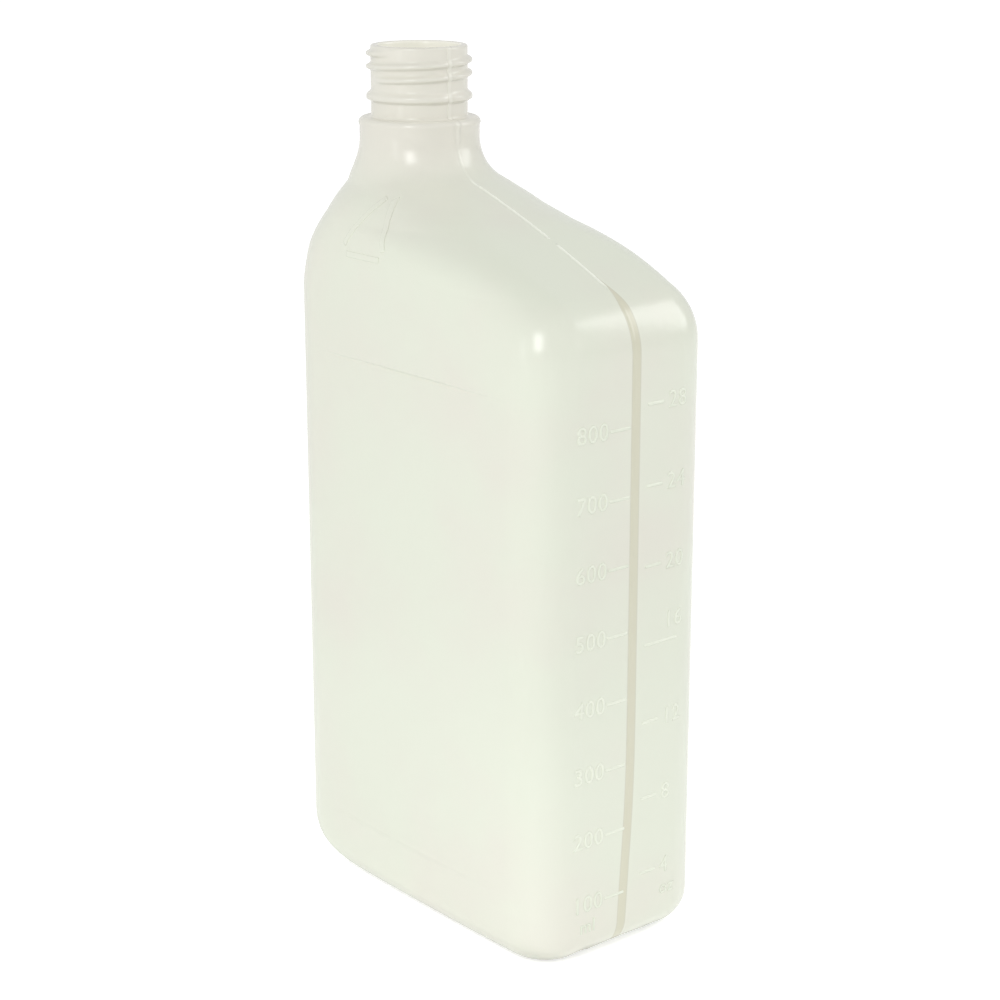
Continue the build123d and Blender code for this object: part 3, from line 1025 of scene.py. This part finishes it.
def blend(tree, factor, first, second):
    """Mixes two colours, given as sockets or plain colours."""
    node = tree.nodes.new("ShaderNodeMix")
    node.data_type = "RGBA"
    for socket, value in ((node.inputs[0], factor), (node.inputs[6], first), (node.inputs[7], second)):
        if isinstance(value, bpy.types.NodeSocket):
            tree.links.new(value, socket)
        else:
            socket.default_value = value
    return node.outputs[2]


def opaque(tone):
    """A colour with full alpha."""
    return (*tone, 1.0)


def noise(tree, place, scale, detail):
    """The value of a noise texture."""
    links = {"Vector": place, "Scale": scale, "Detail": detail}
    return add_node(tree, "ShaderNodeTexNoise", links).outputs[0]


def vector_maths(tree, operation, first, second, output="Vector"):
    """A vector maths node; its inputs are sockets or vectors."""
    return add_node(tree, "ShaderNodeVectorMath", {0: first, 1: second}, operation=operation).outputs[output]


def dot(tree, way, axis):
    """How far a direction goes along an axis."""
    return vector_maths(tree, "DOT_PRODUCT", way, axis, "Value")


def moulded_grain():
    """Group: cloudy tone, satin variation and fine grain of blow-moulded plastic."""
    name = "moulded_grain"
    if name in bpy.data.node_groups:
        return bpy.data.node_groups[name]
    finish = settings().finish
    tree = bpy.data.node_groups.new(name, "ShaderNodeTree")
    sockets = {
        "INPUT": {"Plastic": "NodeSocketColor", "Warm": "NodeSocketColor", "Satin": "NodeSocketFloat"},
        "OUTPUT": {"Color": "NodeSocketColor", "Roughness": "NodeSocketFloat", "Height": "NodeSocketFloat"},
    }
    for way, labels in sockets.items():
        for label, kind in labels.items():
            tree.interface.new_socket(label, in_out=way, socket_type=kind)
    enter = tree.nodes.new("NodeGroupInput").outputs
    leave = tree.nodes.new("NodeGroupOutput").inputs
    place = tree.nodes.new("ShaderNodeTexCoord").outputs["Object"]
    cloud = noise(tree, place, finish.cloud_scale, finish.cloud_detail)
    grain = noise(tree, place, finish.grain_scale, finish.grain_detail)
    ripple = noise(tree, place, finish.ripple_scale, finish.grain_detail)
    clouded = ease(tree, cloud, finish.cloud_low, finish.cloud_high)
    tone = blend(tree, clouded, enter["Plastic"], enter["Warm"])
    speck = maths(tree, "ADD", maths(tree, "MULTIPLY", grain, finish.speck), 1.0 - finish.speck / 2)
    shaded = add_node(tree, "ShaderNodeVectorMath", {0: tone}, operation="SCALE")
    tree.links.new(speck, shaded.inputs["Scale"])
    tree.links.new(shaded.outputs[0], leave["Color"])
    satin = maths(tree, "MULTIPLY", maths(tree, "SUBTRACT", ripple, 0.5), finish.satin_change)
    tree.links.new(maths(tree, "ADD", enter["Satin"], satin), leave["Roughness"])
    fine = maths(tree, "MULTIPLY", grain, finish.grain_height)
    height = maths(tree, "ADD", fine, maths(tree, "MULTIPLY", ripple, finish.ripple_height))
    tree.links.new(height, leave["Height"])
    return tree


def moulded_plastic(name, tone, warm):
    """A plastic material with the moulded grain, its colour's socket, and the shader's that takes it."""
    finish = settings().finish
    material = bpy.data.materials.new(name)
    material.use_nodes = True
    tree = material.node_tree
    shader = tree.nodes["Principled BSDF"]
    grain = tree.nodes.new("ShaderNodeGroup")
    grain.node_tree = moulded_grain()
    grain.inputs["Plastic"].default_value = opaque(tone)
    grain.inputs["Warm"].default_value = opaque(warm)
    grain.inputs["Satin"].default_value = finish.roughness
    bump = add_node(tree, "ShaderNodeBump", {"Height": grain.outputs["Height"]})
    bump.inputs["Strength"].default_value = finish.bump_strength
    bump.inputs["Distance"].default_value = finish.bump_depth
    tree.links.new(grain.outputs["Color"], shader.inputs["Base Color"])
    tree.links.new(grain.outputs["Roughness"], shader.inputs["Roughness"])
    tree.links.new(bump.outputs["Normal"], shader.inputs["Normal"])
    shader.inputs["IOR"].default_value = finish.refraction
    return material, grain.outputs["Color"], shader.inputs["Base Color"]


def strip_masks(tree, x, y, z):
    """Masks of the view strip and of its two edge lines; the strip leans a little near the foot."""
    finish = settings().finish
    lean = maths(tree, "POWER", ease(tree, z, 0.0, finish.strip_lean_top, 1.0, 0.0), finish.strip_lean_curve)
    middle = maths(tree, "SUBTRACT", finish.strip_middle, maths(tree, "MULTIPLY", lean, finish.strip_lean))
    off = maths(tree, "ABSOLUTE", maths(tree, "SUBTRACT", y, middle))
    half = ease(tree, z, finish.strip_full, finish.strip_tip, finish.strip_half, 0.0)
    past = maths(tree, "SUBTRACT", off, half)
    on_side = maths(tree, "GREATER_THAN", x, finish.strip_side)
    here = maths(tree, "MULTIPLY", on_side, maths(tree, "LESS_THAN", z, finish.strip_tip))
    inside = ease(tree, past, -finish.strip_soft / 2, finish.strip_soft / 2, 1.0, 0.0)
    edge = ease(tree, maths(tree, "ABSOLUTE", past), 0.0, finish.strip_soft, 1.0, 0.0)
    return maths(tree, "MULTIPLY", inside, here), maths(tree, "MULTIPLY", edge, here)


def seam_mask(tree, x, y, z):
    """Mask of the pale line painted along the mould seam on the long slope, fainter on the neck: a painted
    highlight on the seam's ridge.
    """
    neck, finish = settings().neck, settings().finish
    skin = Skin(0)
    slope_low, slope_high = skin.slope.convex_top, skin.slope.crown_top
    line = ease(tree, maths(tree, "ABSOLUTE", y), 0.0, finish.flash_spread * neck.seam_width, 1.0, 0.0)
    low = ease(tree, z, slope_low, slope_low + SEAM_FADE)
    high = ease(tree, z, slope_high, slope_high + SEAM_FADE, 1.0, finish.neck_flash)
    middle = (neck.seam_gap_bottom + neck.seam_gap_top) / 2
    from_gap = maths(tree, "ABSOLUTE", maths(tree, "SUBTRACT", z, middle))
    gap = maths(tree, "GREATER_THAN", from_gap, (neck.seam_gap_top - neck.seam_gap_bottom) / 2)
    right = maths(tree, "GREATER_THAN", x, skin.axis)
    run = maths(tree, "MULTIPLY", maths(tree, "MULTIPLY", low, high), maths(tree, "MULTIPLY", gap, right))
    return maths(tree, "MULTIPLY", line, run)


def mouth_mask(tree, place):
    """Mask of the inside of the mouth, where a pale colour is painted light for the light that shines
    through the thin wall.
    """
    skin = Skin(0)
    neck = skin.neck
    axis = (skin.axis, 0.0, 0.0)
    from_axis = vector_maths(tree, "SUBTRACT", place, axis)
    flat = vector_maths(tree, "MULTIPLY", from_axis, (1.0, 1.0, 0.0))
    radius = add_node(tree, "ShaderNodeVectorMath", {0: flat}, operation="LENGTH").outputs["Value"]
    inside = ease(tree, radius, neck.bore_radius, neck.bore_radius + neck.rim_round, 1.0, 0.0)
    z = add_node(tree, "ShaderNodeSeparateXYZ", {0: place}).outputs[2]
    return maths(tree, "MULTIPLY", inside, ease(tree, z, skin.collar_bottom, skin.collar_top))


def skin_plastic():
    """The bottle's plastic, with the view strip, the seam's painted highlight, the mouth's painted light and
    the lining's glow.
    """
    finish = settings().finish
    material, tone, base = moulded_plastic("moulded_plastic", finish.plastic, finish.warm)
    tree = material.node_tree
    place = tree.nodes.new("ShaderNodeTexCoord").outputs["Object"]
    x, y, z = add_node(tree, "ShaderNodeSeparateXYZ", {0: place}).outputs
    strip, edge = strip_masks(tree, x, y, z)
    warmth = ease(tree, z, finish.warm_low, finish.warm_high, 0.0, finish.warm_share)
    tone = blend(tree, warmth, tone, opaque(finish.neck))
    # Painted light: the inside of the mouth made pale.
    tone = blend(tree, mouth_mask(tree, place), tone, opaque(finish.mouth))
    tone = blend(tree, strip, tone, opaque(finish.strip))
    tone = blend(tree, edge, tone, opaque(finish.strip_edge))
    # Painted highlight: a pale line along the mould seam.
    tone = blend(tree, seam_mask(tree, x, y, z), tone, opaque(finish.flash))
    tree.links.new(tone, base)
    shader = tree.nodes["Principled BSDF"]
    lining = add_node(tree, "ShaderNodeAttribute", {}, attribute_name="lining").outputs["Fac"]
    shine = blend(tree, lining, BLACK, opaque(finish.plastic))
    tree.links.new(shine, shader.inputs["Emission Color"])
    shader.inputs["Emission Strength"].default_value = finish.lining_glow
    return material


def mark_plastic():
    """The same plastic without the strip, painted paler for the raised marks: a painted highlight on their
    tops.
    """
    finish = settings().finish
    return moulded_plastic("mark_plastic", finish.mark, finish.plastic)[0]


def floor_material():
    """A pale matt floor that is white to the camera and keeps the shadow."""
    stage = settings().stage
    material = bpy.data.materials.new("studio_floor")
    material.use_nodes = True
    tree = material.node_tree
    shader = tree.nodes["Principled BSDF"]
    shader.inputs["Base Color"].default_value = opaque(stage.floor)
    shader.inputs["Roughness"].default_value = stage.floor_roughness
    shader.inputs["Specular IOR Level"].default_value = 0.0
    shader.inputs["Emission Color"].default_value = WHITE
    path = tree.nodes.new("ShaderNodeLightPath").outputs
    mirrored = maths(tree, "MULTIPLY", path["Is Glossy Ray"], stage.floor_mirror)
    seen = maths(tree, "MAXIMUM", seen_directly(tree, path), mirrored)
    tree.links.new(maths(tree, "MULTIPLY", seen, stage.floor_glow), shader.inputs["Emission Strength"])
    return material


def seen_directly(tree, path):
    """1 for what the camera sees, straight or through something clear."""
    return maths(tree, "MAXIMUM", path["Is Camera Ray"], path["Is Transmission Ray"])


def add_lamp(name, power, size, place, target):
    """An oblong soft lamp that faces a point, and that the camera can't see."""
    bpy.ops.object.light_add(type="AREA", location=tuple(place))
    lamp = bpy.context.object
    lamp.name = name
    lamp.data.energy = power
    lamp.data.shape = "RECTANGLE"
    lamp.data.size, lamp.data.size_y = size
    lamp.visible_camera = False
    lamp.rotation_euler = (target - Vector(place)).to_track_quat("-Z", "Y").to_euler()
    return lamp


def add_table_glow(name, power, size, place):
    """A flat lamp that lies on the table beside the bottle and shines upwards."""
    above = Vector((place[0], place[1], 1.0))
    lamp = add_lamp(name, power, size, place, above)
    lamp.rotation_euler = (pi, 0, 0)
    return lamp


def set_floor():
    """The floor under the bottle."""
    select_nothing()
    bpy.ops.mesh.primitive_plane_add(size=FLOOR_SIZE)
    floor = bpy.context.object
    floor.name = "studio_floor"
    floor.data.materials.append(floor_material())


def set_even_light(scene):
    """Even light all round, with a darker top; the camera sees plain white instead."""
    stage = settings().stage
    world = scene.world or bpy.data.worlds.new("studio")
    scene.world = world
    world.use_nodes = True
    tree = world.node_tree
    way = tree.nodes.new("ShaderNodeTexCoord").outputs["Generated"]
    around = maths(tree, "ADD", dot(tree, way, tuple(stage.lean)), stage.world)
    rise = dot(tree, way, tuple(Vector(stage.top_way).normalized()))
    top = ease(tree, rise, cos(stage.top_edge), cos(stage.top_full), 1.0, 1.0 - stage.top_dark)
    soft = maths(tree, "MULTIPLY", around, top)
    path = tree.nodes.new("ShaderNodeLightPath").outputs
    even = add_node(tree, "ShaderNodeMix", {0: seen_directly(tree, path), 2: soft, 3: 1.0}).outputs[0]
    background = tree.nodes["Background"]
    background.inputs["Color"].default_value = WHITE
    tree.links.new(even, background.inputs["Strength"])


def set_lamps():
    """The soft lamps round the bottle, and the glows that the table throws back."""
    stage = settings().stage
    target = Vector(stage.target)
    level = Vector((0, 0, stage.card_place[2]))
    add_lamp("key_lamp", stage.key_power, stage.key_size, stage.key_place, target)
    add_lamp("card_lamp", stage.card_power, stage.card_size, stage.card_place, level)
    add_lamp("fill_lamp", stage.fill_power, stage.fill_size, stage.fill_place, target)
    add_lamp("side_lamp", stage.side_power, stage.side_size, stage.side_place, target)
    add_table_glow("front_glow", stage.glow_power, stage.front_glow_size, stage.front_glow_place)
    add_table_glow("side_glow", stage.glow_power, stage.side_glow_size, stage.side_glow_place)


def set_camera(scene):
    """The camera at the photograph's angle."""
    stage = settings().stage
    flat = cos(stage.elevation)
    toward = Vector((flat * sin(stage.azimuth), -flat * cos(stage.azimuth), sin(stage.elevation)))
    bpy.ops.object.camera_add(location=Vector(stage.target) + toward * stage.distance)
    camera = bpy.context.object
    camera.name = "studio_camera"
    camera.rotation_euler = (-toward).to_track_quat("-Z", "Y").to_euler()
    camera.data.sensor_width = stage.sensor
    camera.data.lens = stage.lens
    camera.data.clip_start = stage.near_clip
    scene.camera = camera


class OILBOTTLE_OT_set_stage(bpy.types.Operator):
    """Set the floor, the even light, the soft lamps and the camera"""

    bl_idname = "oil_bottle.set_stage"
    bl_label = "Set stage"

    def execute(self, context):
        set_floor()
        set_even_light(context.scene)
        set_lamps()
        set_camera(context.scene)
        context.scene.view_settings.view_transform = "Standard"
        return {"FINISHED"}


class OILBOTTLE_PT_tools(bpy.types.Panel):
    """The bottle's steps, in their order"""

    bl_label = "Oil bottle"
    bl_idname = "OILBOTTLE_PT_tools"
    bl_space_type = "VIEW_3D"
    bl_region_type = "UI"
    bl_category = "Oil bottle"

    def draw(self, context):
        for step in STEPS:
            self.layout.operator(step.bl_idname)


STEPS = (OILBOTTLE_OT_mould_skin, OILBOTTLE_OT_raise_scale, OILBOTTLE_OT_raise_sign, OILBOTTLE_OT_set_stage)
GROUPS = (BottleBody, BottleShoulder, BottleNeck, BottleScale, BottleFinish, BottleStage, BottleSettings)
CLASSES = (*GROUPS, *STEPS, OILBOTTLE_PT_tools)


def register():
    for cls in CLASSES:
        bpy.utils.register_class(cls)
    bpy.types.Scene.oil_bottle = PointerProperty(type=BottleSettings)


def unregister():
    del bpy.types.Scene.oil_bottle
    for cls in reversed(CLASSES):
        bpy.utils.unregister_class(cls)


def main():
    register()
    bpy.ops.oil_bottle.mould_skin()
    bpy.ops.oil_bottle.raise_scale()
    bpy.ops.oil_bottle.raise_sign()
    bpy.ops.oil_bottle.set_stage()


if __name__ == "__main__":
    main()
